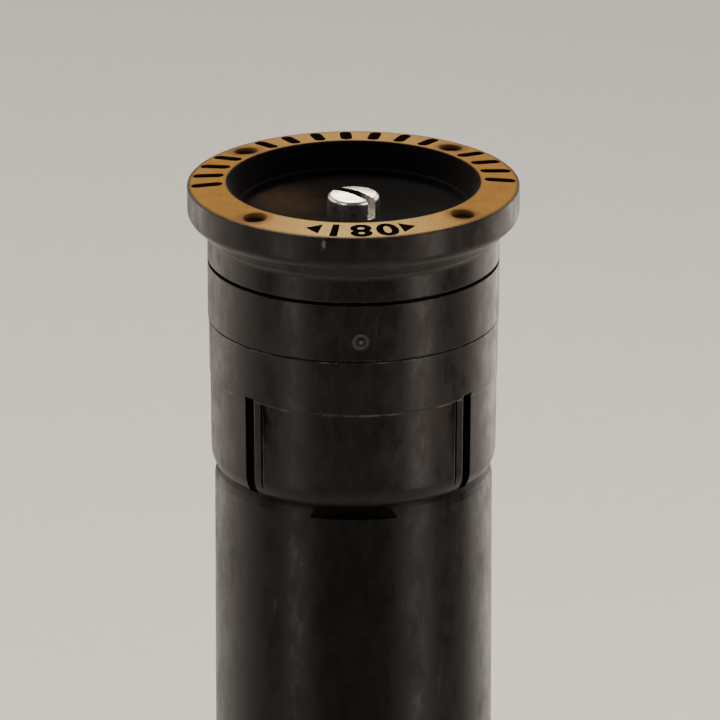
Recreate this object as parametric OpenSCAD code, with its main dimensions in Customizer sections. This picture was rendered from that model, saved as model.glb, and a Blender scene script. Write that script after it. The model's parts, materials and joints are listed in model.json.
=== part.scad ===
// Pop-up spray sprinkler, shown risen from its case.
// The origin is the middle of the inlet's mouth, on the plane that the case stands on. +Z is up.
// The spray leaves the back of the nozzle, towards +Y.

/* [Case] */
// Height from the base to the top of the cap
case_h = 155.6; // [155:0.2:158]
// Bore of the case barrel
case_bore_d = 36; // [36:0.2:37]
// Outside diameter of the barrel below its thread
barrel_d = 41.2; // [41:0.1:41.4]
// Diameter of the cap's top flange
cap_d = 57; // [56:0.5:60]
// Ribs round the cap's skirt, for the hand to grip
grip_count = 36; // [24:4:48]
// Guide ribs down the inside of the barrel
guide_count = 4; // [2:1:6]

/* [Inlet] */
// Bore of the female half-inch pipe thread, at its pitch diameter
inlet_d = 19.6; // [19:0.1:20]
// Length of that thread
inlet_len = 13.4; // [12:0.1:13.6]
// Gusset plates round the inlet boss
gusset_count = 8; // [4:1:12]

/* [Riser] */
// How far the riser comes out of the case
travel = 100; // [90:1:100]
// Outside diameter of the riser stem
stem_d = 21.3; // [21.2:0.02:21.34]
// Bore of the riser stem
stem_bore_d = 17.4; // [17.2:0.1:17.6]
// Detents in the ratchet that sets the direction of the spray
detent_count = 36; // [24:4:48]

/* [Nozzle] */
// Diameter of the nozzle's flange
flange_d = 25.4; // [25:0.1:25.6]
// Nozzle height from its lower edge to the flange's top plane
nozzle_h = 22.4; // [22.2:0.1:22.6]
// Diameter of the nozzle body under the flange
body_top_d = 22.34; // [22.2:0.02:22.5]
// Diameter of the nozzle body at its lower edge, before the rounding
body_low_d = 21.84; // [21.7:0.02:22]
// Diameter of the dish's mouth, which is the colour ring's bore
dish_d = 19.2; // [18.8:0.1:19.6]
// Turn of the nozzle's pattern about its own axis
pattern_turn = 3; // [-10:1:10]
// Angle between neighbouring tick marks on the colour ring
tick_step = 11.25; // [11.25:3.75:22.5]
// Diameter of the adjusting screw's head
screw_head_d = 4; // [3.6:0.1:4.2]
// Turn of the screw's slot from the X axis
slot_turn = -45; // [-90:5:90]

/* [Spring] */
// Wire diameter of the retraction spring
wire_d = 1.6; // [1.4:0.1:1.6]
// Mean coil diameter of the retraction spring
coil_d = 30.8; // [30.6:0.1:31]
// Turns in the retraction spring
coil_turns = 10; // [8:1:11]

/* [Hidden] */

$fn = 96;
eps = 0.01;          // overshoot of a cutting tool
slack = 0.3;         // room between moving bodies
small_gap = 0.2;     // gap left at a stop

// Levels of the case, from the base up
floor_z = inlet_len + 2;
seat_z = floor_z + 0.8;
case_top_z = case_h - 6.4;
cap_deck_z = case_h - 4.2;
gasket_t = 1;
carrier_t = cap_deck_z - case_top_z - gasket_t;
carrier_low_z = cap_deck_z - carrier_t;
seat_washer_t = 1;
skirt_low_z = case_h - 23.6;
thread_low_z = case_h - 21;
thread_pitch = 3;
thread_turns = 4;
thread_root_r = 20.8;
thread_depth = 1.2;
thread_play = 0.2;
rib_r = case_bore_d / 2 - 1.2;
rib_w = 2.4;

// Levels of the risen nozzle, from its top down
top_z = case_h + travel;
ring_rise = 0.22;
ring_z = top_z - ring_rise;
ring_seat_z = ring_z - 0.35;
nozzle_low_z = ring_z - nozzle_h;
side_low_z = ring_z - 1.85;
slant_low_z = ring_z - 4;
seam_z = ring_z - 6;
seam_h = 0.3;
step_z = ring_z - 10.5;
panel_top_z = ring_z - 14.85;
web_z = nozzle_low_z + 7.6;
web_t = 1.8;
filter_top_z = web_z - 0.6;
flange_t = 0.8;
neck_top_z = filter_top_z - flange_t;
filter_h = 31;

// Radii of the nozzle
flange_r = flange_d / 2;
dish_r = dish_d / 2;
lip_w = 0.12;        // thin lips that hold the colour ring between them
pit_at_r = (flange_r + dish_r) / 2;
pit_depth = 1.1;
body_top_r = body_top_d / 2;
body_low_r = body_low_d / 2;
chamber_r = 9.6;
skirt_r = 9.5;
port_r = 2.7;
collar_r = 5.4;
collar_bore_r = 4.2;
collar_h = 5.6;
ear_slot_w = 1.7;

// Throat of the cap, and the seal in its lower end
throat_r = 11.6;
sleeve_r = 14.2;
pocket_r = 13;
seal_top_z = nozzle_low_z - travel - 0.4;
seal_h = 5;
retainer_h = 1.2;
sleeve_low_z = seal_top_z - seal_h - retainer_h;

// Foot of the riser
stem_r = stem_d / 2;
stem_bore_r = stem_bore_d / 2;
ratchet_top_z = sleeve_low_z - small_gap;
ledge_z = ratchet_top_z - 2;
ratchet_low_z = ratchet_top_z - 4.6;
foot_top_z = ratchet_low_z - small_gap;
foot_t = 1.9;
foot_low_z = foot_top_z - foot_t;
window_h = 1.5;
valve_plate_t = 0.8;
valve_low_z = foot_low_z - window_h - valve_plate_t;
disc_t = 0.9;

// Adjusting screw and the plug that it drives
screw_r = 1;
screw_top_z = ring_z - 0.65;
head_low_z = ring_z - 3.2;
clip_z = seam_z - 1.2;
clip_t = 0.5;
plug_travel = 2.4;
plug_t = 2;
plug_top_z = web_z - plug_travel - 0.1;
screw_low_z = plug_top_z - plug_t - 0.9;

// ---------- Shared shapes ----------

// Solid of revolution from an outline of [radius, height] points
module revolve(points) {
    rotate_extrude() polygon(points);
}

// Ring from radius r_in to r_out, between heights z0 and z1
module ring(r_out, r_in, z0, z1) {
    difference() {
        translate([0, 0, z0]) cylinder(r = r_out, h = z1 - z0);
        translate([0, 0, z0 - eps]) cylinder(r = r_in, h = z1 - z0 + 2 * eps);
    }
}

// Piece of a ring, centred on the angle at and spread wide
module ring_sector(r_out, r_in, z0, z1, at, spread) {
    translate([0, 0, z0]) rotate([0, 0, at - spread / 2]) rotate_extrude(angle = spread)
        translate([r_in, 0]) square([r_out - r_in, z1 - z0]);
}

// Copies of the children, evenly spaced round the axis
module around(count, first = 0) {
    for (i = [0 : count - 1]) rotate([0, 0, first + i * 360 / count]) children();
}

// Points of an arc in an outline
function arc(centre, r, from, to, steps = 6) =
    [for (i = [0 : steps]) let (a = from + (to - from) * i / steps)
        [centre[0] + r * cos(a), centre[1] + r * sin(a)]];

// Outline of thread ridges that stand out from root, going up
function ridges(root, depth, z0, pitch, turns) =
    [for (k = [0 : turns - 1]) each
        [[root, z0 + k * pitch],
         [root + depth, z0 + (k + 0.3) * pitch],
         [root + depth, z0 + (k + 0.5) * pitch],
         [root, z0 + (k + 0.8) * pitch]]];

// ---------- Case and cap ----------

// Barrel with its inlet boss, gussets, thread and inner guide ribs
module case() {
    boss_r = 14.8;
    gusset_t = 2;
    barrel_r = barrel_d / 2;
    bore_r = case_bore_d / 2;
    passage_r = 7.2;
    shoulder_z = floor_z - 0.6;
    collar_z = skirt_low_z - 3;
    color("dimgray") difference() {
        union() {
            revolve(concat(
                [[inlet_d / 2 - 1.5, 0], [boss_r - 0.8, 0], [boss_r, 0.8], [boss_r, shoulder_z - 4],
                 [barrel_r - 0.8, shoulder_z], [barrel_r, shoulder_z + 1.6],
                 [barrel_r, collar_z], [barrel_r + 2.4, collar_z + 1], [barrel_r + 2.4, collar_z + 2.6],
                 [thread_root_r, collar_z + 2.6]],
                ridges(thread_root_r, thread_depth, thread_low_z, thread_pitch, thread_turns),
                [[thread_root_r, case_top_z - 0.6], [thread_root_r - 0.6, case_top_z],
                 [bore_r, case_top_z], [bore_r, floor_z + 1.2], [bore_r - 1.2, floor_z],
                 [passage_r + 1.2, floor_z], [passage_r + 1, seat_z], [passage_r + 0.2, seat_z],
                 [passage_r, floor_z], [passage_r, inlet_len - 1]]));
            around(gusset_count) rotate([90, 0, 0]) translate([0, 0, -gusset_t / 2])
                linear_extrude(gusset_t) polygon(
                    [[boss_r - 1, 0], [boss_r + 2.2, 0], [barrel_r - 0.5, shoulder_z - 3],
                     [barrel_r - 0.5, shoulder_z + 1], [boss_r - 1, shoulder_z + 1]]);
            around(guide_count, 45) translate([rib_r, -rib_w / 2, floor_z + 2])
                cube([bore_r - rib_r + 0.6, rib_w, case_top_z - floor_z - 6]);
        }
        translate([0, 0, -eps]) cylinder(d = inlet_d, h = inlet_len + eps);
    }
}

// Screw cap with a ribbed skirt and a flared mouth for the nozzle's flange
module cap() {
    skirt_r = 25.2;
    top_r = cap_d / 2;
    mouth_r = flange_r + 0.4;
    color("darkslategray") {
        revolve(concat(
            [[thread_root_r + thread_play, skirt_low_z], [skirt_r, skirt_low_z],
             [skirt_r, cap_deck_z - 1.2], [top_r - 0.6, cap_deck_z - 0.4]],
            arc([top_r - 1.2, case_h - 1.2], 1.2, 0, 90),
            [[mouth_r + 0.5, case_h], [mouth_r, case_h - 0.5], [mouth_r, case_h - 2.7],
             [throat_r + 0.4, cap_deck_z], [thread_root_r + thread_play, cap_deck_z]],
            [for (k = [thread_turns * 4 - 1 : -1 : 0])
                ridges(thread_root_r + thread_play, thread_depth, thread_low_z, thread_pitch,
                       thread_turns)[k]]));
        around(grip_count) translate([skirt_r - 0.4, -0.9, skirt_low_z + 0.8])
            cube([top_r - skirt_r - 0.9, 1.8, cap_deck_z - skirt_low_z - 1.4]);
    }
}

// Flat washer squeezed between the case's rim and the seal carrier
module cap_gasket() {
    color("black") ring(thread_root_r - 0.7, case_bore_d / 2 + 0.3, case_top_z, carrier_low_z);
}

// Throat that guides the nozzle down and holds the seal, clamped under the cap
module seal_carrier() {
    color("gray")
        revolve([[throat_r + 0.4, cap_deck_z], [throat_r, cap_deck_z - 0.5], [throat_r, seal_top_z],
                 [pocket_r, seal_top_z], [pocket_r, sleeve_low_z], [sleeve_r, sleeve_low_z],
                 [sleeve_r, carrier_low_z], [thread_root_r - 0.4, carrier_low_z],
                 [thread_root_r - 0.4, cap_deck_z]]);
}

// Rubber wiper with a lip above and a pressure lip below
module wiper_seal() {
    lip_r = stem_r + 0.05;
    low = seal_top_z - seal_h;
    color([0.12, 0.12, 0.12])
        revolve([[pocket_r, low], [pocket_r, seal_top_z], [lip_r + 0.9, seal_top_z],
                 [lip_r, seal_top_z - 0.3], [lip_r, seal_top_z - 0.8], [lip_r + 0.8, seal_top_z - 1.9],
                 [lip_r + 0.8, low + 1.9], [lip_r, low + 0.9], [lip_r, low + 0.4], [lip_r + 0.5, low],
                 [lip_r + 1, low + 1.2], [pocket_r - 0.7, low + 1.2], [pocket_r - 0.7, low]]);
}

// Snap ring that holds the seal in the throat
module seal_retainer() {
    color("whitesmoke") ring(pocket_r, stem_r + 0.5, sleeve_low_z, sleeve_low_z + retainer_h);
}

// Slippery washer that the spring bears on under the carrier
module spring_seat() {
    color("white")
        ring(case_bore_d / 2 - 0.4, sleeve_r + 0.05, carrier_low_z - seat_washer_t, carrier_low_z);
}

// Stainless coil, closed at both ends, which pulls the riser back down
module retraction_spring() {
    top = carrier_low_z - seat_washer_t - 0.05;
    low = ledge_z + 0.05;
    sides = 6;
    per_turn = 20;
    rings = coil_turns * per_turn;
    rise = top - low - wire_d;
    // The end turns lie flat, and the turns between share the rise
    function lift(u) = let (t = (u * coil_turns - 1) / (coil_turns - 2)) rise * min(1, max(0, t))
        * (1 - 2 * wire_d / rise) + wire_d * (min(1, u * coil_turns) + max(0, min(1, (u - 1) * coil_turns + 1)));
    points = [for (i = [0 : rings]) for (j = [0 : sides - 1])
        let (a = 360 * i / per_turn, b = 360 * j / sides, r = coil_d / 2 + wire_d / 2 * cos(b))
        [r * cos(a), r * sin(a), low + wire_d / 2 + lift(i / rings) * 0.999 + wire_d / 2 * sin(b)]];
    skin = [for (i = [0 : rings - 1]) for (j = [0 : sides - 1])
        let (n = (j + 1) % sides)
        [i * sides + j, i * sides + n, (i + 1) * sides + n, (i + 1) * sides + j]];
    start_cap = [for (j = [sides - 1 : -1 : 0]) j];
    end_cap = [for (j = [0 : sides - 1]) rings * sides + j];
    color("silver") polyhedron(points, concat([start_cap], skin, [end_cap]), convexity = 10);
}

// ---------- Riser ----------

// Ring that the guide ribs keep from turning, with detents round its bore
module ratchet_ring() {
    outer_r = case_bore_d / 2 - 0.6;
    recess_r = 12.6;
    tooth_r = 12.2;
    recess_h = 2;
    color("gainsboro") difference() {
        union() {
            ring(outer_r, stem_r + slack, ratchet_low_z, ledge_z);
            ring(sleeve_r, stem_r + slack, ledge_z - eps, ratchet_top_z);
        }
        translate([0, 0, ratchet_low_z - eps]) linear_extrude(recess_h + eps)
            polygon([for (i = [0 : 2 * detent_count - 1])
                let (a = 180 * i / detent_count, r = i % 2 == 0 ? recess_r : tooth_r)
                [r * cos(a), r * sin(a)]]);
        around(guide_count, 45)
            translate([rib_r - slack, -rib_w / 2 - slack, ratchet_low_z - 1])
            cube([4, rib_w + 2 * slack, ledge_z - ratchet_low_z + 2]);
    }
}

// Tube with a foot flange below and a male thread for the nozzle above
module riser_stem() {
    neck_r = 8.95;
    neck_bore_r = 7.7;
    neck_depth = 0.4;
    shoulder_r = 10.35;
    hub_h = 2;
    notch_h = 1;
    notch_depth = 0.5;
    color("dimgray") difference() {
        union() {
            revolve(concat(
                [[stem_bore_r, foot_low_z], [14.4, foot_low_z], [14.6, foot_low_z + 0.2],
                 [14.6, foot_top_z], [11.8, foot_top_z], [11.8, foot_top_z + hub_h],
                 [stem_r, foot_top_z + hub_h], [stem_r, nozzle_low_z - 0.9],
                 [stem_r - 0.1, nozzle_low_z - 0.35], [shoulder_r, nozzle_low_z]],
                ridges(neck_r, neck_depth, nozzle_low_z, 1.4, 4),
                [[neck_r, neck_top_z], [neck_bore_r, neck_top_z],
                 [neck_bore_r, nozzle_low_z - 2], [stem_bore_r, nozzle_low_z - 4]]));
            around(2) ring_sector(12, 11.5, foot_top_z, foot_top_z + hub_h, 0, 5);
        }
        // Flat cut at the front, under the nozzle
        translate([-stem_r / 2, -stem_r - 1, nozzle_low_z - notch_h])
            cube([stem_r, notch_depth + 1, notch_h + eps]);
    }
}

// Cage pushed into the stem's foot, with a plate that carries the sealing disc
module check_valve_body() {
    plate_r = 9.6;
    tube_r = stem_bore_r - 0.05;
    tube_bore_r = 7.4;
    color("slategray") {
        difference() {
            translate([0, 0, valve_low_z]) cylinder(r = plate_r, h = valve_plate_t);
            translate([0, 0, valve_low_z - eps]) cylinder(r = 1.7, h = valve_plate_t + 2 * eps);
        }
        difference() {
            ring(tube_r, tube_bore_r, valve_low_z + valve_plate_t - eps, foot_top_z + 3);
            around(4, 45) translate([tube_bore_r - 2, -4.6, valve_low_z + valve_plate_t])
                cube([4, 9.2, window_h]);
        }
    }
}

// Rubber disc with a button that snaps through the valve's plate
module check_valve_seal() {
    button_top_z = valve_low_z + valve_plate_t + 1;
    color([0.1, 0.1, 0.1])
        revolve([[0, valve_low_z - disc_t], [9, valve_low_z - disc_t], [9.4, valve_low_z - disc_t + 0.3],
                 [9.4, valve_low_z], [1.6, valve_low_z], [1.6, valve_low_z + valve_plate_t],
                 [2.3, valve_low_z + valve_plate_t], [1.8, button_top_z - 0.3], [0, button_top_z]]);
}

// Moulded basket that hangs in the stem from its own flange
module filter_frame() {
    cage_r = 7.3;
    cage_bore_r = 6.5;
    rib_count = 6;
    row_count = 4;
    rib_w = 1.6;
    hoop_h = 0.8;
    low_z = filter_top_z - filter_h;
    row_h = (filter_h - flange_t - hoop_h) / row_count;
    window_w = PI * cage_r * 2 / rib_count - rib_w;
    color("ivory") difference() {
        revolve([[0, low_z - 1.2], [4.5, low_z - 1], [cage_r - 0.5, low_z - 0.4], [cage_r, low_z],
                 [cage_r, filter_top_z - flange_t], [9, filter_top_z - flange_t], [9, filter_top_z],
                 [cage_bore_r, filter_top_z], [cage_bore_r, low_z + hoop_h], [0, low_z + hoop_h]]);
        for (row = [0 : row_count - 1]) around(rib_count)
            translate([cage_bore_r - 1.5, -window_w / 2, low_z + hoop_h + row * row_h])
            cube([4, window_w, row_h - hoop_h]);
    }
}

// Fine screen inside the basket
module filter_mesh() {
    color("silver") ring(6.45, 6.2, filter_top_z - filter_h + 0.8, filter_top_z);
}

// ---------- Nozzle ----------

// Lower body: threaded skirt, web with the flow port, and spray chamber
module nozzle_base() {
    slot_at = 49;
    slot_w = 0.95;
    slot_depth = 0.8;
    slot_rise = 0.25;
    groove_w = 0.2;
    groove_depth = 0.15;
    groove_inset = 6.5;
    round_r = 2.5;
    round_h = 1.5;
    panel_r = body_low_r + (body_top_r - body_low_r) * 0.45;
    step_r = panel_r + 0.06;
    window_w = 3;
    window_h = 0.9;
    color([0.2, 0.18, 0.17]) rotate([0, 0, pattern_turn]) difference() {
        revolve(concat(
            [[skirt_r, nozzle_low_z]],
            arc([body_low_r - round_r, nozzle_low_z + round_h], round_r, -asin(round_h / round_r), 0),
            [[panel_r - 0.05, panel_top_z], [panel_r, panel_top_z + 0.08],
             [step_r, step_z - 0.1], [step_r - 0.13, step_z], [step_r + 0.06, step_z + 0.1],
             [body_top_r, seam_z]],
            [[chamber_r, seam_z], [chamber_r, web_z + web_t], [port_r, web_z + web_t], [port_r, web_z],
             [collar_bore_r, web_z], [collar_bore_r, web_z - collar_h], [collar_r, web_z - collar_h],
             [collar_r, web_z], [7.2, web_z], [7.2, filter_top_z], [skirt_r, filter_top_z]]));
        // Wide slot and thin groove on each side of the front and back panels
        for (half = [0, 180]) for (side = [-1, 1]) {
            rotate([0, 0, half - 90 + side * slot_at])
                translate([body_low_r - slot_depth, -slot_w / 2, nozzle_low_z - 1])
                cube([3, slot_w, panel_top_z + slot_rise - nozzle_low_z + 1]);
            rotate([0, 0, half - 90 + side * (slot_at - groove_inset)])
                translate([body_low_r - groove_depth, -groove_w / 2, nozzle_low_z - 1])
                cube([3, groove_w, panel_top_z - nozzle_low_z + 1]);
        }
        // Slots in the collar: two guide the plug's ears, and all four let water in
        around(4) translate([collar_bore_r - 0.5, -ear_slot_w / 2, web_z - collar_h - 1])
            cube([collar_r - collar_bore_r + 1, ear_slot_w, collar_h + 0.6]);
        // Window that waters close to the head
        translate([-window_w / 2, chamber_r - 1, step_z + 0.4]) cube([window_w, 4, window_h]);
        // Gate mark at the middle of the front
        translate([0, -body_top_r + 0.1, ring_z - 8.9]) rotate([90, 0, 0]) difference() {
            cylinder(d = 1.3, h = 1, $fn = 32);
            translate([0, 0, -eps]) cylinder(d = 0.6, h = 2, $fn = 32);
        }
    }
}

// Upper body: flange with a groove for the colour ring, a shallow dish and the screw's boss
module nozzle_deflector() {
    low = seam_z + seam_h;
    spigot_r = chamber_r - 0.05;
    spigot_bore_r = 8.4;
    boss_r = 2.8;
    boss_low_z = low - 0.8;
    side_round = 1;
    fillet_r = 0.7;
    slot_spread = 180;
    color([0.16, 0.15, 0.14]) rotate([0, 0, pattern_turn]) difference() {
        union() {
            revolve(concat(
                [[screw_r + 0.05, boss_low_z], [boss_r, boss_low_z], [boss_r, low], [body_top_r, low]],
                arc([body_top_r + fillet_r, slant_low_z], fillet_r, 180, 134),
                arc([flange_r - side_round, side_low_z], side_round, -48, 0),
                [[flange_r, ring_z - 0.08], [flange_r - 0.06, ring_z - 0.02],
                 [flange_r - lip_w, ring_z - 0.02], [flange_r - lip_w, ring_seat_z],
                 [dish_r + lip_w, ring_seat_z], [dish_r + lip_w, top_z - 0.03],
                 [dish_r + 0.06, top_z - 0.03], [dish_r, top_z - 0.1],
                 [dish_r - 0.7, ring_z - 1.7], [dish_r - 0.9, ring_z - 1.75],
                 [dish_r - 1.05, ring_z - 2.2], [dish_r - 1.2, ring_z - 2.3],
                 [boss_r, head_low_z - 0.1], [screw_r + 0.05, head_low_z - 0.1]]));
            ring(spigot_r, spigot_bore_r, seam_z - 1.2, low + eps);
            // Land that closes the seam over the front half, inside the outer groove
            ring_sector(body_top_r - 0.5, spigot_bore_r, seam_z, low + eps, -90, 360 - slot_spread);
        }
        ring_sector(spigot_r + 1, spigot_bore_r - 1, seam_z - 2, low, 90, slot_spread);
        around(4, 45) translate([pit_at_r, 0, ring_z - pit_depth])
            cylinder(r1 = 0.15, r2 = 0.85, h = pit_depth, $fn = 32);
    }
}

// Coloured ring with tick marks that show where the spray reaches
module colour_ring() {
    edge = 0.04;
    out_r = flange_r - lip_w;
    in_r = dish_r + lip_w;
    tick_w = 0.9;
    tick_from_r = dish_r + 0.85;
    tick_to_r = flange_r - 0.75;
    tick_last = floor(180 / tick_step);
    color("burlywood") rotate([0, 0, pattern_turn]) difference() {
        revolve([[in_r, ring_seat_z], [out_r, ring_seat_z], [out_r, ring_z - edge],
                 [out_r - edge, ring_z], [in_r + edge, top_z], [in_r, top_z - edge]]);
        for (k = [0 : tick_last]) if (k * tick_step % 90 != 45) rotate([0, 0, k * tick_step]) {
            for (r = [tick_from_r, tick_to_r]) translate([r, 0, ring_seat_z - 1])
                cylinder(d = tick_w, h = 3, $fn = 24);
            translate([tick_from_r, -tick_w / 2, ring_seat_z - 1])
                cube([tick_to_r - tick_from_r, tick_w, 3]);
        }
        around(4, 45) translate([pit_at_r, 0, ring_z - pit_depth])
            cylinder(r1 = 0.15, r2 = 1, h = pit_depth + 0.2, $fn = 32);
    }
}

// ---------- Adjusting screw and throttle ----------

// Slotted stainless screw that turns in the boss and stays at one height
module adjusting_screw() {
    slot_w = 0.8;
    slot_depth = 1.7;
    head_r = screw_head_d / 2;
    corner_r = 0.35;
    dome_r = 9.4;
    groove_r = 0.7;
    color("white") difference() {
        revolve(concat(
            [[0, screw_low_z], [screw_r - 0.2, screw_low_z], [screw_r, screw_low_z + 0.2],
             [screw_r, clip_z], [groove_r, clip_z], [groove_r, clip_z + clip_t],
             [screw_r, clip_z + clip_t], [screw_r, head_low_z], [head_r, head_low_z]],
            arc([head_r - corner_r, screw_top_z - 0.5], corner_r, 0, 79),
            arc([0, screw_top_z - dome_r], dome_r, 80, 90)));
        rotate([0, 0, slot_turn]) translate([-5, -slot_w / 2, screw_top_z - slot_depth])
            cube([10, slot_w, slot_depth + 1]);
    }
}

// Push-on clip that keeps the screw from lifting
module screw_clip() {
    color("silver") difference() {
        ring(2.2, 0.75, clip_z, clip_z + clip_t);
        translate([0, -0.6, clip_z - 1]) cube([4, 1.2, 3]);
    }
}

// Plug with two ears, drawn up against the port as the screw turns
module throttle_plug() {
    disc_r = 3.8;
    ear_w = 1.5;
    ear_r = 5.2;
    color("gainsboro") difference() {
        union() {
            revolve([[0, plug_top_z - plug_t], [disc_r - 0.3, plug_top_z - plug_t],
                     [disc_r, plug_top_z - plug_t + 0.3], [disc_r, plug_top_z - 0.4],
                     [disc_r - 0.4, plug_top_z], [0, plug_top_z]]);
            rotate([0, 0, pattern_turn]) translate([-ear_r, -ear_w / 2, plug_top_z - plug_t + 0.3])
                cube([2 * ear_r, ear_w, plug_t - 0.8]);
        }
        translate([0, 0, plug_top_z - plug_t - eps]) cylinder(r = screw_r + 0.05, h = plug_t + 2 * eps);
    }
}

case();
cap();
cap_gasket();
seal_carrier();
wiper_seal();
seal_retainer();
spring_seat();
retraction_spring();
ratchet_ring();
riser_stem();
check_valve_body();
check_valve_seal();
filter_frame();
filter_mesh();
nozzle_base();
nozzle_deflector();
colour_ring();
adjusting_screw();
screw_clip();
throttle_plug();
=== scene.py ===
"""Looks of a pop-up spray sprinkler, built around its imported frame."""

import functools
import json
import math

import bmesh
import bpy
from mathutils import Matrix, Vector


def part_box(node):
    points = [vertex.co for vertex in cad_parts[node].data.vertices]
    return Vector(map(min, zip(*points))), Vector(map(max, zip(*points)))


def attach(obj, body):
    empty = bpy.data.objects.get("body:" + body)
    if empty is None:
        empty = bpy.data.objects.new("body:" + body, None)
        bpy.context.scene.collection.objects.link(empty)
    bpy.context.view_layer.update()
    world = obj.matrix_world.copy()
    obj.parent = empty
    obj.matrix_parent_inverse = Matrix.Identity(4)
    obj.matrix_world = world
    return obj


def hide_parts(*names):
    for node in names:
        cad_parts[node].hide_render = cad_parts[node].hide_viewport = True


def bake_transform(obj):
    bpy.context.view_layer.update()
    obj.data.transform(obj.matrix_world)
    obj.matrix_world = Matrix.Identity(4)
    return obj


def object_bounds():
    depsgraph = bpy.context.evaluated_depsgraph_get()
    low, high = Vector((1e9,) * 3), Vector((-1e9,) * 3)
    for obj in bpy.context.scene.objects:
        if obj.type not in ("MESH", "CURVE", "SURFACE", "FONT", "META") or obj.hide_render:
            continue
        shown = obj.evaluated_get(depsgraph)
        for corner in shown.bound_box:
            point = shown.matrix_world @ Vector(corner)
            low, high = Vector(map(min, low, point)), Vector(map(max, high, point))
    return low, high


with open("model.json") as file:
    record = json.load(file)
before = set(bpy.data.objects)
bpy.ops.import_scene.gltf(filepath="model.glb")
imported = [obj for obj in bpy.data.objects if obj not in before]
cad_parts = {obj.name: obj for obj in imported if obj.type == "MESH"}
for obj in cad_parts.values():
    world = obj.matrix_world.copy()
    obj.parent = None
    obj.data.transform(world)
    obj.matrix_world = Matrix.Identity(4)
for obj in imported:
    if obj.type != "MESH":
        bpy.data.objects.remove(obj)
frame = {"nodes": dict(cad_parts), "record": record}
cad_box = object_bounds()

MM = 0.001

# Sizes that the frame's boxes don't give, in millimetres and degrees
PATTERN_TURN = 3.0        # turn of the nozzle's pattern about its axis
FLANGE_RADIUS = 12.7
DISH_RADIUS = 9.6
LIP_WIDTH = 0.12          # dark lips on both sides of the ring
RING_RIM = FLANGE_RADIUS - LIP_WIDTH
RING_BORE = DISH_RADIUS + LIP_WIDTH
RING_RISE = 0.22          # how much higher the ring's bore is than its rim
RING_EDGE = 0.04          # bevel at the ring's rim and bore
TICK_STEP = 11.25
TICK_WIDTH = 0.9
TICK_FROM, TICK_TO = 10.45, 11.95
PIT_RADIUS = 11.15        # from the axis to a pit's centre
MARK_RADIUS = 11.15       # middle of the marking's line
NOZZLE_HEIGHT = 22.4      # from the ring's rim down to the riser
STEM_RADIUS = 10.65
NOTCH_HEIGHT = 1.0        # of the notch in the riser's front, right under the nozzle
NOTCH_DEPTH = 0.5
SLOT_TURN = -45           # of the adjusting screw's slot from the X axis
SLOT_WIDTH = 0.8
SPRING_WIRE = 1.6
SPRING_TURNS = 10
THREAD_PITCH = 1.814      # half-inch pipe thread
THREAD_DEPTH = 0.6
SCREEN_STEP = 1.0         # from one wire of the filter's screen to the next

# The ink on the ring, in millimetres
INK_SINK = 0.03           # how far the ink in the tick slots lies below the ring
TICK_DEPTH = 0.4          # thickness of the ink in a tick slot
TICK_ROOM = 0.01          # between the ink and its slot, all round
FIGURE = "180"
FIGURE_SIZE = 2.95
FIGURE_WIDEN = 1.12
FIGURE_INK = 0.01         # half the thickness of the figure's ink
ARROW_TIP, ARROW_BACK, ARROW_HALF = 4.25, 3.1, 0.85

# Marks on the nozzle, and a painted glow in its dish: turn from the front, distance from the axis and depth
# below the ring's rim
GATE = (0, 11.1, 8.9)
NICK = (-13.2, FLANGE_RADIUS, 0.6)
DISH_GLOW = (-127, 6.4, 2.6)
UNDER_FLANGE = 3.1        # middle of the painted reflected light on the wall under the flange
# Patchy painted glints at the nozzle's steps: depth below the ring's rim, half their width, strength and
# seed
STEP_GLINTS = ((2.45, 0.12, 0.12, 91.0), (10.62, 0.08, 0.35, 92.0), (14.9, 0.1, 0.25, 93.0))
# Painted sheen patches on the ring: turn from the front, reach and strength
SHEEN_PATCHES = ((-3, 9.5, 0.85), (177, 11.0, 0.3))

# Lamps, in metres
STAND_TALL = 0.6
STAND_DIP = 0.01          # how far a standing lamp reaches below the floor
WARM = (1.0, 0.87, 0.78)


# ---------- Material nodes ----------

def new_material(name):
    """New node material, with its tree and its shader."""
    material = bpy.data.materials.new(name)
    material.use_nodes = True
    return material, material.node_tree, material.node_tree.nodes["Principled BSDF"]


def link(tree, output, node, socket):
    """Joins an output to a node's named or numbered input."""
    tree.links.new(output, node.inputs[socket])


def feed(tree, node, socket, value):
    """Sets an input to a number, vector or colour, or joins an output to it."""
    if isinstance(value, bpy.types.NodeSocket):
        tree.links.new(value, node.inputs[socket])
    elif isinstance(value, tuple) and len(value) == 3 and len(node.inputs[socket].default_value) == 4:
        node.inputs[socket].default_value = (*value, 1)
    else:
        node.inputs[socket].default_value = value


def place(tree):
    """Place of the shaded point in the row frame, in metres."""
    return tree.nodes.new("ShaderNodeTexCoord").outputs["Object"]


def stretched(tree, scale):
    """Place with each axis scaled on its own."""
    node = tree.nodes.new("ShaderNodeMapping")
    node.inputs["Scale"].default_value = scale
    link(tree, place(tree), node, "Vector")
    return node.outputs["Vector"]


def turned(tree, turn, where):
    """Place turned about the vertical axis, in degrees."""
    node = tree.nodes.new("ShaderNodeVectorRotate")
    node.rotation_type = "Z_AXIS"
    node.inputs["Angle"].default_value = math.radians(turn)
    link(tree, where, node, "Vector")
    return node.outputs["Vector"]


def along(tree, axis, where=None):
    """Coordinate of a place along one axis, in metres."""
    node = tree.nodes.new("ShaderNodeSeparateXYZ")
    link(tree, where or place(tree), node, "Vector")
    return node.outputs[axis]


def noise(tree, size_mm, detail=3, roughness=0.5, where=None, seed=0.0):
    """Noise whose blotches are about size_mm across."""
    node = tree.nodes.new("ShaderNodeTexNoise")
    node.noise_dimensions = "4D"
    node.inputs["W"].default_value = seed
    node.inputs["Scale"].default_value = 1 / (size_mm * MM)
    node.inputs["Detail"].default_value = detail
    node.inputs["Roughness"].default_value = roughness
    link(tree, where or place(tree), node, "Vector")
    return node.outputs["Fac"]


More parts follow.
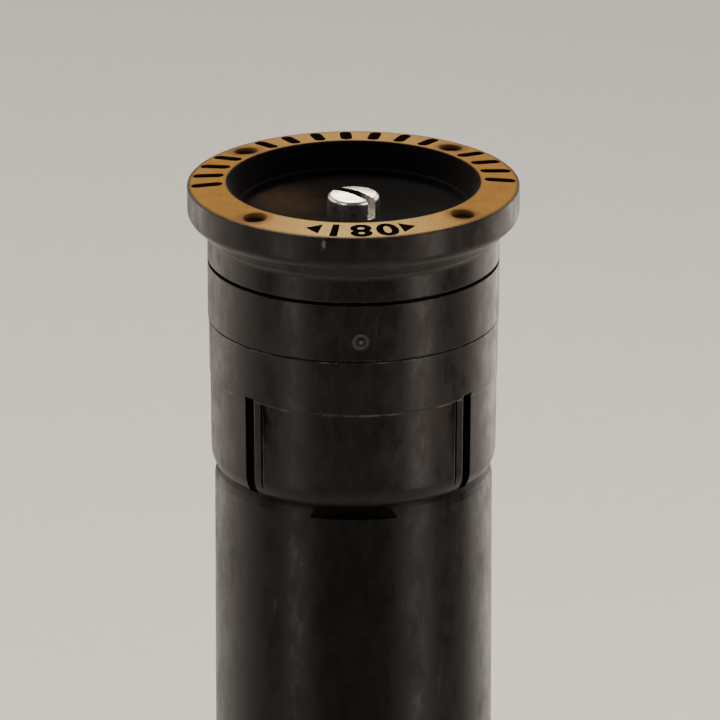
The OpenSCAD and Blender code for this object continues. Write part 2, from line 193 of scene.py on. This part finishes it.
def maths(tree, operation, a, b=0.0, clamp=False):
    """One sum on numbers or outputs."""
    node = tree.nodes.new("ShaderNodeMath")
    node.operation = operation
    node.use_clamp = clamp
    feed(tree, node, 0, a)
    feed(tree, node, 1, b)
    return node.outputs[0]


def vector_maths(tree, operation, a, b=(0, 0, 0), output="Value"):
    """One sum on vectors or outputs."""
    node = tree.nodes.new("ShaderNodeVectorMath")
    node.operation = operation
    feed(tree, node, 0, a)
    feed(tree, node, 1, b)
    return node.outputs[output]


def most(tree, *shares):
    """Largest of several shares."""
    return functools.reduce(lambda a, b: maths(tree, "MAXIMUM", a, b), shares)


def apart(tree, value, middle):
    """How far a value is from a middle one, on either side."""
    return maths(tree, "ABSOLUTE", maths(tree, "SUBTRACT", value, middle))


def remap(tree, value, low, high, to_low, to_high):
    """Straight-line change of range, held at its ends."""
    node = tree.nodes.new("ShaderNodeMapRange")
    for socket, number in (("From Min", low), ("From Max", high), ("To Min", to_low), ("To Max", to_high)):
        node.inputs[socket].default_value = number
    link(tree, value, node, "Value")
    return node.outputs["Result"]


def spread(tree, clouds, to_low, to_high):
    """Noise brought to a range: its own values lie mostly between 0.3 and 0.7."""
    return remap(tree, clouds, 0.3, 0.7, to_low, to_high)


def ragged(tree, size_mm, detail, swing_mm, seed):
    """Distance, in metres, that makes an edge wander to both sides."""
    return spread(tree, noise(tree, size_mm, detail, 0.6, seed=seed), -swing_mm * MM, swing_mm * MM)


def blend_colour(tree, share, first, second):
    """Colour between two colours."""
    node = tree.nodes.new("ShaderNodeMix")
    node.data_type = "RGBA"
    feed(tree, node, 0, share)
    feed(tree, node, 6, first)
    feed(tree, node, 7, second)
    return node.outputs[2]


def bump(tree, relief, strength, depth_mm, normal=None):
    """Bump from a relief between 0 and 1, which stands for depth_mm."""
    node = tree.nodes.new("ShaderNodeBump")
    node.inputs["Strength"].default_value = strength
    node.inputs["Distance"].default_value = depth_mm * MM
    link(tree, relief, node, "Height")
    if normal:
        link(tree, normal, node, "Normal")
    return node.outputs["Normal"]


def rounded(tree, radius_mm):
    """Normal that rounds sharp edges off."""
    node = tree.nodes.new("ShaderNodeBevel")
    node.samples = 6
    node.inputs["Radius"].default_value = radius_mm * MM
    return node.outputs["Normal"]


def edge_mask(tree, normal):
    """One along edges and nothing on flat ground, from a rounded normal."""
    geometry = tree.nodes.new("ShaderNodeNewGeometry")
    agreement = vector_maths(tree, "DOT_PRODUCT", normal, geometry.outputs["Normal"])
    return remap(tree, agreement, 0.995, 0.85, 0.0, 1.0)


# ---------- Places on the object, for the materials ----------

def height(tree):
    """Height of the shaded point, in metres."""
    return along(tree, "Z")


def from_axis(tree):
    """Distance from the vertical axis, in metres."""
    return vector_maths(tree, "LENGTH", stretched(tree, (1, 1, 0)))


def level_below(depth_mm):
    """Height of a level that lies below the ring's rim."""
    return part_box("colour_ring")[1].z - (RING_RISE + depth_mm) * MM


def spot(tree, turn, radius_mm, depth_mm, lay=(1, 1, 1)):
    """Distance from a point, given by its turn from the front, its radius and its depth below the ring."""
    angle = math.radians(turn + PATTERN_TURN - 90)
    centre = (radius_mm * MM * math.cos(angle), radius_mm * MM * math.sin(angle), level_below(depth_mm))
    laid_centre = tuple(c * k for c, k in zip(centre, lay))
    return vector_maths(tree, "DISTANCE", stretched(tree, lay), laid_centre)


def from_pit(tree):
    """Distance from the nearest of the ring's four pits, in metres."""
    pattern = turned(tree, -PATTERN_TURN, stretched(tree, (1, 1, 0)))
    one_quarter = vector_maths(tree, "ABSOLUTE", pattern, output="Vector")
    side = PIT_RADIUS * MM * math.sqrt(0.5)
    return vector_maths(tree, "DISTANCE", one_quarter, (side, side, 0))


def inside_dish(tree):
    """One on the dish's wall and floor and the lip above them, and nothing elsewhere. The nozzle gets
    painted shade there.
    """
    deepest, fade = 3.9, 0.2
    within = remap(tree, from_axis(tree), (RING_BORE + 0.03) * MM, (RING_BORE - 0.01) * MM, 0, 1)
    above = remap(tree, height(tree), level_below(deepest), level_below(deepest - fade), 0, 1)
    return maths(tree, "MULTIPLY", within, above)


def painted_dish_glow(tree):
    """Share of painted brownish glow on the dish's floor, behind the screw on the left."""
    edge = maths(tree, "ADD", spot(tree, *DISH_GLOW, (1, 1, 0.5)), ragged(tree, 1.2, 4, 0.8, 95.0))
    floor_rim = DISH_RADIUS - 1.1
    on_floor = remap(tree, from_axis(tree), floor_rim * MM, (floor_rim - 0.3) * MM, 0, 0.55)
    patch = maths(tree, "MULTIPLY", remap(tree, edge, 3.6 * MM, 0.6 * MM, 0, 1), on_floor)
    return maths(tree, "MULTIPLY", patch, inside_dish(tree))


def in_notch(tree):
    """One in the hollow of the riser's notch, under the nozzle at the front, and nothing elsewhere. The
    riser gets painted shade there.
    """
    flat_at, low = STEM_RADIUS - NOTCH_DEPTH, NOZZLE_HEIGHT + NOTCH_HEIGHT
    front = remap(tree, along(tree, "Y"), -(flat_at - 0.04) * MM, -(flat_at - 0.01) * MM, 0, 1)
    level = remap(tree, height(tree), level_below(low + 0.04), level_below(low), 0, 1)
    return maths(tree, "MULTIPLY", front, level)


def painted_slot_shade(tree):
    """Share of painted shade on the far wall of the screw's slot, all but its front end."""
    in_slot = turned(tree, -SLOT_TURN, place(tree))
    off_wall = apart(tree, along(tree, "Y", in_slot), SLOT_WIDTH / 2 * MM)
    on_wall = remap(tree, off_wall, 0.03 * MM, 0.01 * MM, 0, 0.97)
    behind_end = remap(tree, along(tree, "X", in_slot), 1.0 * MM, 0.3 * MM, 0, 1)
    return maths(tree, "MULTIPLY", on_wall, behind_end)


def painted_step_glint(tree, depth_mm, half_mm, strength, seed):
    """Patchy painted glint round the nozzle at a depth below the ring's rim."""
    off_line = apart(tree, height(tree), level_below(depth_mm))
    line = remap(tree, off_line, half_mm * MM, 0.3 * half_mm * MM, 0, strength)
    return maths(tree, "MULTIPLY", line, remap(tree, noise(tree, 1.6, 3, 0.6, seed=seed), 0.48, 0.62, 0, 1))


def gate_mark(tree):
    """Pale dot in a fainter circle, where the moulding's gate was."""
    circle_radius = 0.52
    from_gate = spot(tree, *GATE)
    circle = remap(tree, apart(tree, from_gate, circle_radius * MM), 0.2 * MM, 0.06 * MM, 0, 0.22)
    dot = remap(tree, from_gate, 0.22 * MM, 0.1 * MM, 0, 0.4)
    return most(tree, circle, dot)


def nozzle_marks_and_light(tree):
    """Gate mark, a nick on the flange, painted reflected light under it and patchy painted glints at the
    steps.
    """
    nick_edge = maths(tree, "ADD", spot(tree, *NICK, (1, 1, 0.5)), ragged(tree, 0.3, 3, 0.12, 94.0))
    nick = remap(tree, nick_edge, 0.24 * MM, 0.1 * MM, 0, 0.45)
    # Painted reflected light: a faint paler band on the wall under the flange
    off_wall = apart(tree, height(tree), level_below(UNDER_FLANGE))
    painted_underlight = remap(tree, off_wall, 1.05 * MM, 0.6 * MM, 0, 0.06)
    # Painted highlights: patchy pale glints along the steps
    lines = [painted_step_glint(tree, *line) for line in STEP_GLINTS]
    return most(tree, gate_mark(tree), nick, painted_underlight, *lines)


# ---------- Materials ----------

def cloudy_colour(tree, clouds, blotches, dark, light):
    """Colour between dark and light, with a paler bloom on the blotches."""
    colour = blend_colour(tree, spread(tree, clouds, 0, 1), dark, light)
    bloom_colour = tuple(1.9 * c for c in light)
    return blend_colour(tree, remap(tree, blotches, 0.45, 0.75, 0, 0.7), colour, bloom_colour)


def worn_share(tree, round_normal, wear, seed):
    """Share of worn plastic: patchy along the edges and faint in the scuffs."""
    patchy = remap(tree, noise(tree, 0.8, 4, 0.7, seed=seed + 3), 0.42, 0.62, 0, wear)
    edges = maths(tree, "MULTIPLY", edge_mask(tree, round_normal), patchy)
    scuffs = noise(tree, 1.2, 5, 0.7, stretched(tree, (1, 1, 0.18)), seed + 2)
    return most(tree, edges, remap(tree, scuffs, 0.62, 0.75, 0, 0.12))


def plastic(name, dark, light, roughness, grain_mm=0.25, grain_depth=0.012, edge_mm=0.15, wear=0.35,
            worn=(0.22, 0.2, 0.19), shine=0.3, seed=0.0, pale=None, shaded=None, glowing=None):
    """Moulded plastic: cloudy colour, fine grain, faint scuffs and paler worn edges.

    pale, shaded and the last argument are functions. They give the share of pale marks, some of them painted
    highlights and painted reflected light; of painted shade in hollows; and of a painted brownish glow.
    """
    material, tree, shader = new_material(name)
    clouds = noise(tree, 4.0, 5, 0.65, seed=seed)
    blotches = noise(tree, 0.9, 4, 0.7, stretched(tree, (1, 1, 0.45)), seed + 4)
    round_normal = rounded(tree, edge_mm)
    marks = worn_share(tree, round_normal, wear, seed)
    if pale:
        marks = most(tree, marks, pale(tree))
    colour = blend_colour(tree, marks, cloudy_colour(tree, clouds, blotches, dark, light), worn)
    rough = maths(tree, "ADD", spread(tree, clouds, roughness - 0.06, roughness + 0.09),
                  remap(tree, blotches, 0.35, 0.7, -0.05, 0.15))
    # Painted shade: hollows darkened towards black, and made duller
    if shaded:
        share = shaded(tree)
        colour = blend_colour(tree, share, colour, tuple(0.3 * c for c in dark))
        rough = maths(tree, "ADD", rough, maths(tree, "MULTIPLY", share, 0.7), clamp=True)
    # Painted glow: dim brownish light on the dish's floor
    if glowing:
        colour = blend_colour(tree, glowing(tree), colour, (0.06, 0.03, 0.01))
    grain = noise(tree, grain_mm, 2, 0.6, seed=seed + 1)
    link(tree, colour, shader, "Base Color")
    link(tree, rough, shader, "Roughness")
    link(tree, bump(tree, grain, 0.5, grain_depth, round_normal), shader, "Normal")
    shader.inputs["Specular IOR Level"].default_value = shine
    return material


def ring_tan(tree, fine):
    """Tan of the ring: cloudy, with painted sheen at its front and back, and finely mottled."""
    clouds = noise(tree, 2.5, 4, 0.6, seed=3.0)
    tan = blend_colour(tree, spread(tree, clouds, 0, 1), (0.22, 0.098, 0.006), (0.295, 0.14, 0.012))
    # Painted sheen: paler patches at the ring's front and back
    for turn, reach, strength in SHEEN_PATCHES:
        painted_sheen = remap(tree, spot(tree, turn, MARK_RADIUS, 0, (1, 1, 0)), reach * MM, 2.0 * MM, 0, strength)
        tan = blend_colour(tree, painted_sheen, tan, (0.60, 0.40, 0.14))
    return blend_colour(tree, remap(tree, fine, 0.45, 0.75, 0, 0.35), tan, (0.17, 0.07, 0.005))


def painted_ring_shade(tree):
    """Share of painted shade along the ring's rim and bore and round its pits."""
    radius = from_axis(tree)
    rim = remap(tree, radius, (RING_RIM - 0.25) * MM, RING_RIM * MM, 0, 0.8)
    bore = remap(tree, radius, (RING_BORE + 0.2) * MM, RING_BORE * MM, 0, 0.6)
    halo = remap(tree, from_pit(tree), 1.6 * MM, 0.75 * MM, 0, 0.9)
    return most(tree, rim, bore, halo)


def ring_plastic():
    """Tan plastic, darker round the pits and along the rim with painted shade, and finely mottled."""
    material, tree, shader = new_material("ring_tan")
    fine = noise(tree, 0.3, 3, 0.6, seed=4.0)
    # Painted shade: dark brown at the rim, the bore and round the pits
    colour = blend_colour(tree, painted_ring_shade(tree), ring_tan(tree, fine), (0.07, 0.026, 0.008))
    # Painted shade: the pits' cone walls go nearly black
    pit_well = remap(tree, from_pit(tree), 0.9 * MM, 0.7 * MM, 0, 1)
    colour = blend_colour(tree, pit_well, colour, (0.005, 0.003, 0.002))
    link(tree, colour, shader, "Base Color")
    link(tree, spread(tree, fine, 0.68, 0.8), shader, "Roughness")
    link(tree, bump(tree, fine, 0.4, 0.01, rounded(tree, 0.08)), shader, "Normal")
    shader.inputs["Specular IOR Level"].default_value = 0.12
    return material


def metal(name, colour, shade, roughness, lay=(1, 1, 12), size_mm=0.2, edge_mm=0.08, painted_shade=None):
    """Bare metal with fine marks. Its last argument is a function that gives the share of painted shade."""
    material, tree, shader = new_material(name)
    marks = noise(tree, size_mm, 4, 0.65, stretched(tree, lay), 7.0)
    clouds = noise(tree, 1.5, 3, 0.5, seed=8.0)
    colour = blend_colour(tree, remap(tree, clouds, 0.35, 0.7, 0, 1), colour, shade)
    # Painted shade: nearly black where the last argument says
    if painted_shade:
        colour = blend_colour(tree, painted_shade(tree), colour, (0.02, 0.016, 0.012))
    link(tree, colour, shader, "Base Color")
    shader.inputs["Metallic"].default_value = 1.0
    link(tree, spread(tree, marks, roughness - 0.06, roughness + 0.1), shader, "Roughness")
    link(tree, bump(tree, marks, 0.25, 0.006, rounded(tree, edge_mm)), shader, "Normal")
    return material


def mesh_screen():
    """Fine screen: bright wires over dark holes."""
    material, tree, shader = new_material("woven_screen")
    radians_per_unit = 20     # of the wave texture, along the axis of its bands
    wave = tree.nodes.new("ShaderNodeTexWave")
    wave.bands_direction = "Z"
    wave.inputs["Scale"].default_value = 2 * math.pi / (radians_per_unit * SCREEN_STEP * MM)
    link(tree, place(tree), wave, "Vector")
    cells = remap(tree, wave.outputs["Fac"], 0.35, 0.65, 0, 1)
    colour = blend_colour(tree, cells, (0.05, 0.05, 0.05), (0.62, 0.61, 0.58))
    link(tree, colour, shader, "Base Color")
    shader.inputs["Metallic"].default_value = 0.8
    link(tree, spread(tree, noise(tree, 0.4, 2), 0.35, 0.5), shader, "Roughness")
    link(tree, bump(tree, cells, 0.6, 0.08), shader, "Normal")
    return material


def ink():
    """Black paint in the marks of the ring, a little uneven."""
    material, tree, shader = new_material("black_ink")
    patches = noise(tree, 0.5, 3, 0.6, seed=11.0)
    colour = blend_colour(tree, patches, (0.002, 0.0015, 0.001), (0.005, 0.004, 0.003))
    link(tree, colour, shader, "Base Color")
    shader.inputs["Specular IOR Level"].default_value = 0.0
    link(tree, spread(tree, patches, 0.85, 0.95), shader, "Roughness")
    link(tree, bump(tree, noise(tree, 0.15, 2, seed=12.0), 0.3, 0.01), shader, "Normal")
    return material


def make_materials():
    """One material for each slot of the record."""
    return {
        "case_plastic": plastic("case_black", (0.011, 0.0104, 0.0098), (0.02, 0.0187, 0.018), 0.44,
                                grain_mm=0.35, edge_mm=0.3, wear=0.5, seed=20),
        "cap_plastic": plastic("cap_black", (0.0095, 0.009, 0.0088), (0.0175, 0.0167, 0.016), 0.4,
                               grain_mm=0.3, edge_mm=0.3, wear=0.6, seed=30),
        "grey_plastic": plastic("grey_moulding", (0.16, 0.16, 0.155), (0.21, 0.21, 0.2), 0.5,
                                worn=(0.35, 0.35, 0.33), seed=40),
        "white_plastic": plastic("acetal_white", (0.66, 0.64, 0.58), (0.74, 0.72, 0.67), 0.38,
                                 edge_mm=0.12, wear=0.15, worn=(0.5, 0.47, 0.42), seed=50),
        "rubber": plastic("rubber_black", (0.012, 0.012, 0.012), (0.024, 0.024, 0.024), 0.7,
                          grain_mm=0.15, wear=0.1, worn=(0.08, 0.08, 0.08), seed=60),
        "spring_steel": metal("spring_wire", (0.62, 0.61, 0.58), (0.5, 0.49, 0.47), 0.3),
        "mesh_steel": mesh_screen(),
        # Riser: painted shade in the notch under the nozzle
        "riser_plastic": plastic("riser_black", (0.0015, 0.001, 0.0008), (0.004, 0.003, 0.0024), 0.3,
                                 grain_mm=0.16, shine=0.15, seed=70, shaded=in_notch),
        # Nozzle: painted shade in its dish, painted highlights and painted reflected light among its pale
        # marks, and a painted glow on the dish floor
        "nozzle_plastic": plastic("nozzle_black", (0.004, 0.003, 0.0025), (0.0115, 0.0087, 0.0073), 0.31,
                                  grain_mm=0.28, grain_depth=0.01, edge_mm=0.1, shine=0.17, seed=80,
                                  pale=nozzle_marks_and_light, shaded=inside_dish, glowing=painted_dish_glow),
        "ring_plastic": ring_plastic(),
        # Screw: painted shade in its slot
        "screw_steel": metal("screw_bright", (0.98, 0.96, 0.9), (0.92, 0.9, 0.84), 0.28, (1, 1, 1), 0.3,
                             painted_shade=painted_slot_shade),
    }


def dress_frame(materials):
    """Gives every node of the frame its slot's material."""
    slots = {part["node"]: part["material_slot"] for part in frame["record"]["subparts"]}
    for name, node in frame["nodes"].items():
        node.data.materials.clear()
        node.data.materials.append(materials[slots[name]])


# ---------- Camera, lights and floor ----------

def aim(obj, target):
    """Turns an object so that its -Z points at a place."""
    obj.rotation_euler = (Vector(target) - obj.location).to_track_quat("-Z", "Y").to_euler()


def make_camera():
    """Long lens a little above the nozzle, aimed at the axis below its ring."""
    elevation = math.radians(19.7)
    distance = 0.92
    below_ring = 14.5 * MM
    aside = 0.5 * MM
    ring_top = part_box("colour_ring")[1].z
    target = Vector((aside, 0, ring_top - below_ring))
    data = bpy.data.cameras.new("camera")
    data.lens = 600
    data.sensor_width = 36
    data.clip_start = 0.05
    data.clip_end = 100
    camera = bpy.data.objects.new("camera", data)
    bpy.context.scene.collection.objects.link(camera)
    camera.location = target + distance * Vector((0, -math.cos(elevation), math.sin(elevation)))
    aim(camera, target)
    bpy.context.scene.camera = camera


def area_light(name, location, target, size, power, colour):
    """Soft rectangular lamp that faces a place and is not seen itself."""
    data = bpy.data.lights.new(name, "AREA")
    data.shape = "RECTANGLE"
    data.size, data.size_y = size
    data.energy = power
    data.color = colour
    lamp = bpy.data.objects.new(name, data)
    bpy.context.scene.collection.objects.link(lamp)
    lamp.location = location
    lamp.visible_camera = False
    aim(lamp, target)


def lamp_power(size, radiance):
    """Power that gives a lamp of some size its radiance."""
    wide, tall = size
    return math.pi * wide * tall * radiance


def standing_light(name, turn, reach, wide, radiance):
    """Upright lamp on the floor, at an angle from the front, with a given radiance.

    Its twin faces away, so that the floor behind it is lit as well.
    """
    angle = math.radians(turn)
    middle = STAND_TALL / 2 - STAND_DIP
    size = (wide, STAND_TALL)
    power = lamp_power(size, radiance)
    location = Vector((reach * math.sin(angle), -reach * math.cos(angle), middle))
    away = Vector((2 * location.x, 2 * location.y, middle))
    area_light(name, location, (0, 0, middle), size, power, WARM)
    area_light(name + "_twin", location, away, size, power, WARM)


def make_lights():
    """Two narrow strips in front, wide panels behind for the rims, a bank behind and a soft lamp above."""
    head = Vector((0, 0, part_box("colour_ring")[1].z))
    standing_light("strip_left", -48, 0.5, 0.11, 4.6)
    standing_light("strip_right", 55, 0.5, 0.15, 6.4)
    standing_light("panel_left", -115, 0.6, 0.75, 1.7)
    standing_light("panel_right", 134, 0.6, 0.6, 2.5)
    bank_size = (0.4, 0.24)
    area_light("bank_behind", (0, 0.9, 0.72), head, bank_size, lamp_power(bank_size, 9.0), (1.0, 0.86, 0.66))
    area_light("lamp_above", (-0.1, 0.45, 1.15), head, (0.5, 0.5), 12.0, (1.0, 0.95, 0.86))


def make_world():
    """Faint, slightly cool light from all round."""
    world = bpy.data.worlds.new("studio")
    world.use_nodes = True
    background = world.node_tree.nodes["Background"]
    background.inputs["Color"].default_value = (0.92, 0.95, 1.0, 1)
    background.inputs["Strength"].default_value = 0.08
    bpy.context.scene.world = world


def floor_paint():
    """Pale, faintly mottled paint."""
    material, tree, shader = new_material("floor_paint")
    mottle = noise(tree, 3.0, 4)
    link(tree, blend_colour(tree, mottle, (0.70, 0.71, 0.69), (0.76, 0.77, 0.75)), shader, "Base Color")
    shader.inputs["Roughness"].default_value = 0.75
    return material


def make_floor():
    """Large pale floor a hair below the case's base."""
    half = 20.0
    gap = 0.02 * MM
    corners = [(-half, -half, 0), (half, -half, 0), (half, half, 0), (-half, half, 0)]
    mesh = bpy.data.meshes.new("floor")
    mesh.from_pydata(corners, [], [(0, 1, 2, 3)])
    mesh.materials.append(floor_paint())
    floor = bpy.data.objects.new("floor", mesh)
    bpy.context.scene.collection.objects.link(floor)
    floor.location.z = cad_box[0].z - gap


# ---------- Pieces ----------

def new_piece(name, build, material, smooth=False):
    """Object from a function that fills a bmesh."""
    mesh = bpy.data.meshes.new(name)
    bm = bmesh.new()
    build(bm)
    bmesh.ops.recalc_face_normals(bm, faces=bm.faces)
    bm.to_mesh(mesh)
    bm.free()
    for polygon in mesh.polygons:
        polygon.use_smooth = smooth
    mesh.materials.append(material)
    obj = bpy.data.objects.new(name, mesh)
    bpy.context.scene.collection.objects.link(obj)
    return obj


def ring_height(radius_mm):
    """Height of the colour ring's upper face at a radius, in metres."""
    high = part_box("colour_ring")[1]
    rim, bore = high.x / MM - RING_EDGE, RING_BORE + RING_EDGE
    share = (rim - radius_mm) / (rim - bore)
    return high.z + (min(max(share, 0), 1) - 1) * RING_RISE * MM


def on_ring(radius_mm, angle, sink_mm=0.0):
    """Point of the ring's face at a radius and an angle of its pattern."""
    turn = math.radians(angle + PATTERN_TURN)
    return Vector((radius_mm * MM * math.cos(turn), radius_mm * MM * math.sin(turn),
                   ring_height(radius_mm) - sink_mm * MM))


def plate(bm, outline, depth):
    """Closed plate with an outline of points on top, going down by a depth."""
    top = [bm.verts.new(p) for p in outline]
    low = [bm.verts.new(p - Vector((0, 0, depth))) for p in outline]
    bm.faces.new(top)
    bm.faces.new(low[::-1])
    for i in range(len(outline)):
        j = (i + 1) % len(outline)
        bm.faces.new((top[i], low[i], low[j], top[j]))


def tick_outline(angle):
    """Rounded bar along the ring's radius, slightly inside its slot."""
    half = TICK_WIDTH / 2 - TICK_ROOM
    steps = 8
    points = []
    for centre, first in ((TICK_TO, -90), (TICK_FROM, 90)):
        for i in range(steps + 1):
            a = math.radians(first + 180 * i / steps)
            radial, across = centre + half * math.cos(a), half * math.sin(a)
            radius = math.hypot(radial, across)
            points.append(on_ring(radius, angle + math.degrees(math.atan2(across, radial)), INK_SINK))
    return points


def tick_marks(bm):
    """Black filling of every tick slot, which leaves the pits free."""
    for k in range(int(180 / TICK_STEP) + 1):
        if k * TICK_STEP % 90 != 45:
            plate(bm, tick_outline(k * TICK_STEP), TICK_DEPTH * MM)


def figure_mesh():
    """Flat mesh of the arc figure, in millimetres."""
    text = bpy.data.curves.new("arc_figure", "FONT")
    text.body = FIGURE
    text.size = FIGURE_SIZE
    text.offset = 0.1
    text.space_character = 1.2
    text.align_x = "CENTER"
    text.align_y = "CENTER"
    text.extrude = FIGURE_INK
    text.resolution_u = 6
    holder = bpy.data.objects.new("arc_figure_text", text)
    bpy.context.scene.collection.objects.link(holder)
    bpy.context.view_layer.update()
    mesh = bpy.data.meshes.new_from_object(holder.evaluated_get(bpy.context.evaluated_depsgraph_get()))
    bpy.data.objects.remove(holder)
    return mesh


def arrowhead(bm, side):
    """Flat arrowhead beside the arc figure, in millimetres, pointing away from it."""
    corners = ((ARROW_TIP, 0), (ARROW_BACK, ARROW_HALF), (ARROW_BACK, -ARROW_HALF))
    plate(bm, [Vector((side * x, y, FIGURE_INK)) for x, y in corners], 2 * FIGURE_INK)


def bend_along_ring(bm):
    """Lays a flat drawing in millimetres on the ring's front, following its curve and slope."""
    longest = 0.5
    bmesh.ops.subdivide_edges(bm, edges=[e for e in bm.edges if e.calc_length() > longest], cuts=3)
    for v in bm.verts:
        angle = -90 + math.degrees(v.co.x / MARK_RADIUS)
        v.co = on_ring(MARK_RADIUS + v.co.y, angle, -v.co.z)


def arc_figure(bm):
    """Arc figure between two arrowheads."""
    mesh = figure_mesh()
    bm.from_mesh(mesh)
    bpy.data.meshes.remove(mesh)
    for v in bm.verts:
        v.co.x *= FIGURE_WIDEN
    arrowhead(bm, -1)
    arrowhead(bm, 1)
    bend_along_ring(bm)


def helix(bm, radius, turns, section, start, rise, per_turn=48, taper=0.0):
    """Sweeps a closed section, in (outward, up) pairs, along a helix about the axis.

    rise gives the height gained after a share of the way. The ends thin out over taper turns.
    """
    thinnest = 0.02
    count = int(turns * per_turn)
    rings = []
    for i in range(count + 1):
        angle = 2 * math.pi * i / per_turn
        ends = min(1.0, i / (taper * per_turn), (count - i) / (taper * per_turn)) if taper else 1.0
        level = start + rise(i / count)
        ring = []
        for out, up in section:
            r = radius + out * max(ends, thinnest)
            ring.append(bm.verts.new((r * math.cos(angle), r * math.sin(angle), level + up)))
        rings.append(ring)
    size = len(section)
    for first, second in zip(rings, rings[1:]):
        for j in range(size):
            k = (j + 1) % size
            bm.faces.new((first[j], first[k], second[k], second[j]))
    bm.faces.new(rings[0][::-1])
    bm.faces.new(rings[-1])


def spring_coil(bm):
    """Round wire coil with a closed turn at each end."""
    low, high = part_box("retraction_spring")
    half_wire = SPRING_WIRE / 2 * MM
    sides = 12
    section = [(half_wire * math.cos(a), half_wire * math.sin(a))
               for a in (2 * math.pi * j / sides for j in range(sides))]
    closed = 1.02 * SPRING_WIRE * MM          # rise of an end turn: the wire and a hair of room
    open_span = high.z - low.z - 2 * half_wire - 2 * closed

    def rise(share):
        """Height gained after a share of the coil's length."""
        turn = share * SPRING_TURNS
        first = min(turn, 1.0) * closed
        last = max(0.0, turn - (SPRING_TURNS - 1)) * closed
        middle = min(max((turn - 1) / (SPRING_TURNS - 2), 0), 1) * open_span
        return first + middle + last

    helix(bm, high.x - half_wire, SPRING_TURNS, section, low.z + half_wire, rise)


def make_spring(material):
    """Spring that stretches between the case and the ratchet ring."""
    obj = new_piece("spring_coil", spring_coil, material, True)
    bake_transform(obj)
    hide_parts("retraction_spring")


def inlet_thread(bm):
    """Thread ridges that stand in from the inlet's bore."""
    mount = next(m for m in frame["record"]["mounts"] if m["name"] == "inlet")
    bore = mount["dims"]["r_mm"] * MM
    length = mount["dims"]["length_mm"] * MM
    pitch = THREAD_PITCH * MM
    depth = THREAD_DEPTH * MM
    buried = 0.05 * MM
    root, crest = 0.45 * pitch, 0.1 * pitch
    section = [(buried, -root), (-depth, -crest), (-depth, crest), (buried, root)]
    turns = length / pitch - 1.5
    helix(bm, bore, turns, section, 0.7 * pitch, lambda share: share * turns * pitch, 64, 0.5)


def make_pieces(materials):
    """All pieces that the frame doesn't hold."""
    black = ink()
    for name, build in (("tick_marks", tick_marks), ("arc_figure", arc_figure)):
        obj = new_piece(name, build, black)
        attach(obj, "riser")
    make_spring(materials["spring_steel"])
    thread = new_piece("inlet_thread", inlet_thread, materials["case_plastic"], True)
    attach(thread, "case")


make_camera()
make_lights()
make_world()
make_floor()
all_materials = make_materials()
dress_frame(all_materials)
make_pieces(all_materials)
